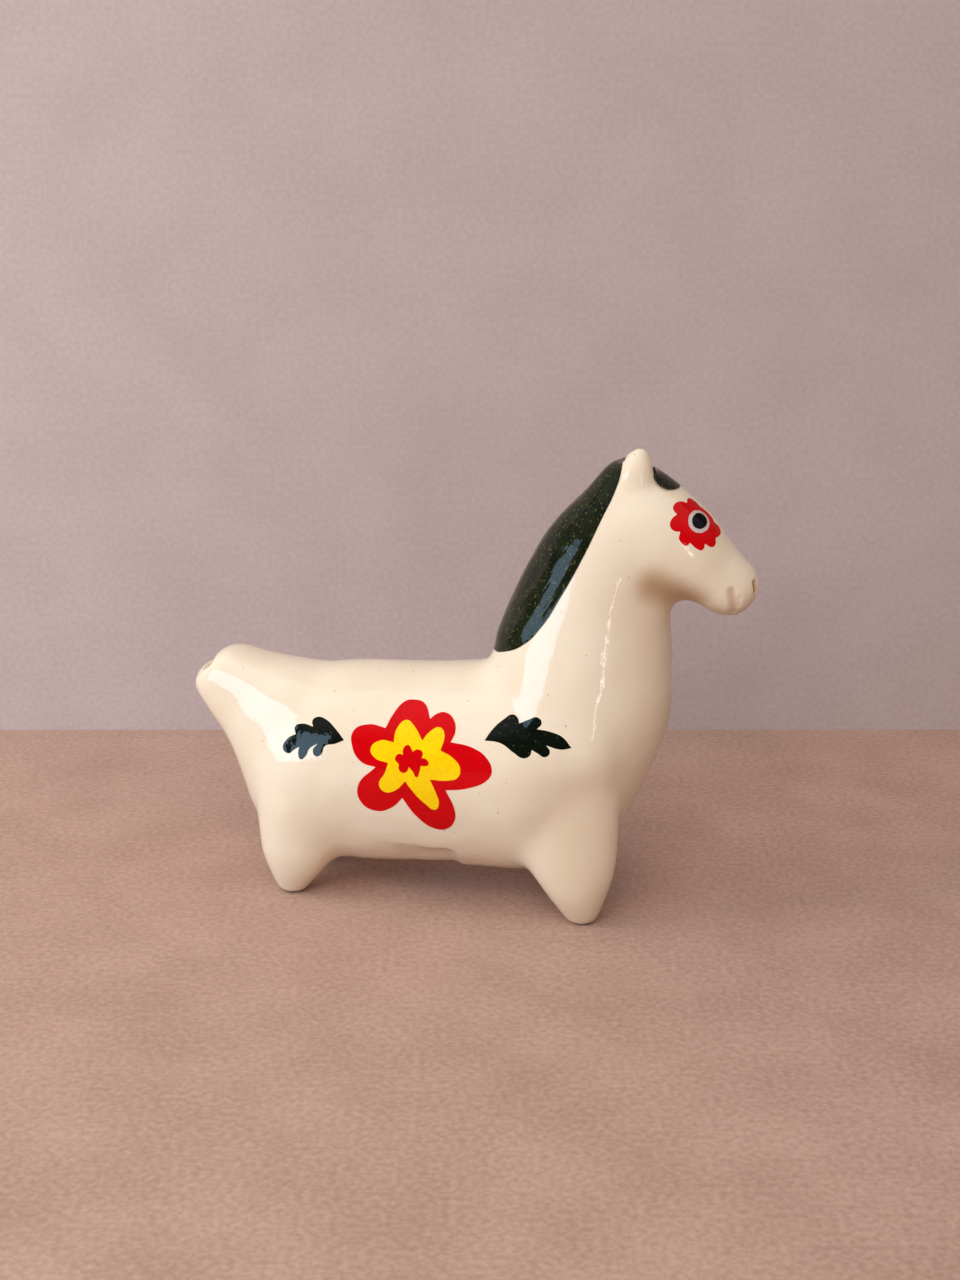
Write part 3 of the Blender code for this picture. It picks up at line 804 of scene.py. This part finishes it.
def camera():
    bpy.ops.object.camera_add(location=Vector(CAMERA_PLACE) * MM)
    made = bpy.context.active_object
    made.rotation_euler = (math.radians(90.0 - CAMERA_DROP), 0.0, math.radians(CAMERA_TURN))
    made.data.lens = CAMERA_LENS
    made.data.sensor_width = CAMERA_SENSOR
    made.data.clip_start = CAMERA_NEAREST * MM
    bpy.context.scene.camera = made


def card(name, colours):
    """Plain matt card with a fine fleck. From behind it is see-through, so that it hides nothing."""
    material = bpy.data.materials.new(name)
    material.use_nodes = True
    tree = material.node_tree
    shader = tree.nodes["Principled BSDF"]
    shader.inputs["Roughness"].default_value = CARD_ROUGHNESS
    place = node(tree, "TexCoord").outputs["Object"]
    grain = effect(tree, "grain", place, brush_share=0.35, grit=1100.0, brush=60.0)
    tree.links.new(blend(tree, grain, *colours), shader.inputs["Base Color"])
    behind = node(tree, "NewGeometry").outputs["Backfacing"]
    clear = node(tree, "BsdfTransparent").outputs[0]
    both = node(tree, "MixShader", {0: behind, 1: shader.outputs[0], 2: clear})
    tree.links.new(both.outputs[0], tree.nodes["Material Output"].inputs["Surface"])
    return material


def stage_plane(name, place, turn, material):
    bpy.ops.mesh.primitive_plane_add(size=STAGE_SIZE * MM, location=Vector(place) * MM, rotation=turn)
    plane = bpy.context.active_object
    plane.name = name
    plane.data.materials.append(material)


def lamp(name, place, size, brightness, colour, mirrored):
    """A soft area lamp of one brightness, whatever its size."""
    bpy.ops.object.light_add(type="AREA", location=Vector(place) * MM)
    made = bpy.context.active_object
    made.name = name
    made.visible_camera = False
    made.visible_glossy = mirrored
    made.data.shape = "RECTANGLE"
    made.data.size = size[0] * MM
    made.data.size_y = size[1] * MM
    made.data.energy = brightness * math.pi * made.data.size * made.data.size_y
    made.data.color = colour
    made.rotation_euler = (LAMP_AIM - Vector(place)).to_track_quat("-Z", "Y").to_euler()


def room_light():
    """Soft light from all round: bright overhead, and dimmer towards the horizon and below."""
    world = bpy.context.scene.world or bpy.data.worlds.new("room")
    bpy.context.scene.world = world
    world.use_nodes = True
    tree = world.node_tree
    direction = node(tree, "TexCoord").outputs["Generated"]
    height = node(tree, "SeparateXYZ", {"Vector": direction}).outputs["Z"]
    low, high = ROOM_RISE
    rise = node(tree, "MapRange", {"Value": height, "From Min": low, "From Max": high})
    sky = blend(tree, rise.outputs["Result"], ROOM_LOW, ROOM_HIGH)
    tree.links.new(sky, tree.nodes["Background"].inputs["Color"])


skin = clay_skin()
shape_muzzle(skin)
paints = {
    "red": painted("red_paint", RED, shine=0.15),
    "yellow": painted("yellow_paint", YELLOW, shine=0.2),
    "leaf": leaf_paint(),
    "white": painted("white_paint", EYE_GREY),
    "pupil": painted("pupil_paint", PUPIL_BLACK, shine=0.15),
}
dress(skin, cream_glaze())
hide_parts(*[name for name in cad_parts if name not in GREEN_NODES])
for name, side in SIDES:
    paint_flank(skin, name, side, paints)
    paint_eye(skin, name, side, paints)
glaze_crest(skin, green_glaze())

camera()
turn = math.radians(CAMERA_TURN)
away = Vector((-math.sin(turn), math.cos(turn), 0.0)) * BACKDROP_DISTANCE
stage_plane("floor", ORIGIN, (0.0, 0.0, turn), card("floor", FLOOR))
stage_plane(
    "backdrop",
    away + Z * STAGE_SIZE / 2,
    (math.radians(90.0), 0.0, turn),
    card("backdrop", BACKDROP),
)
for settings in LAMPS:
    lamp(*settings)
room_light()
bpy.context.scene.view_settings.view_transform = "Standard"
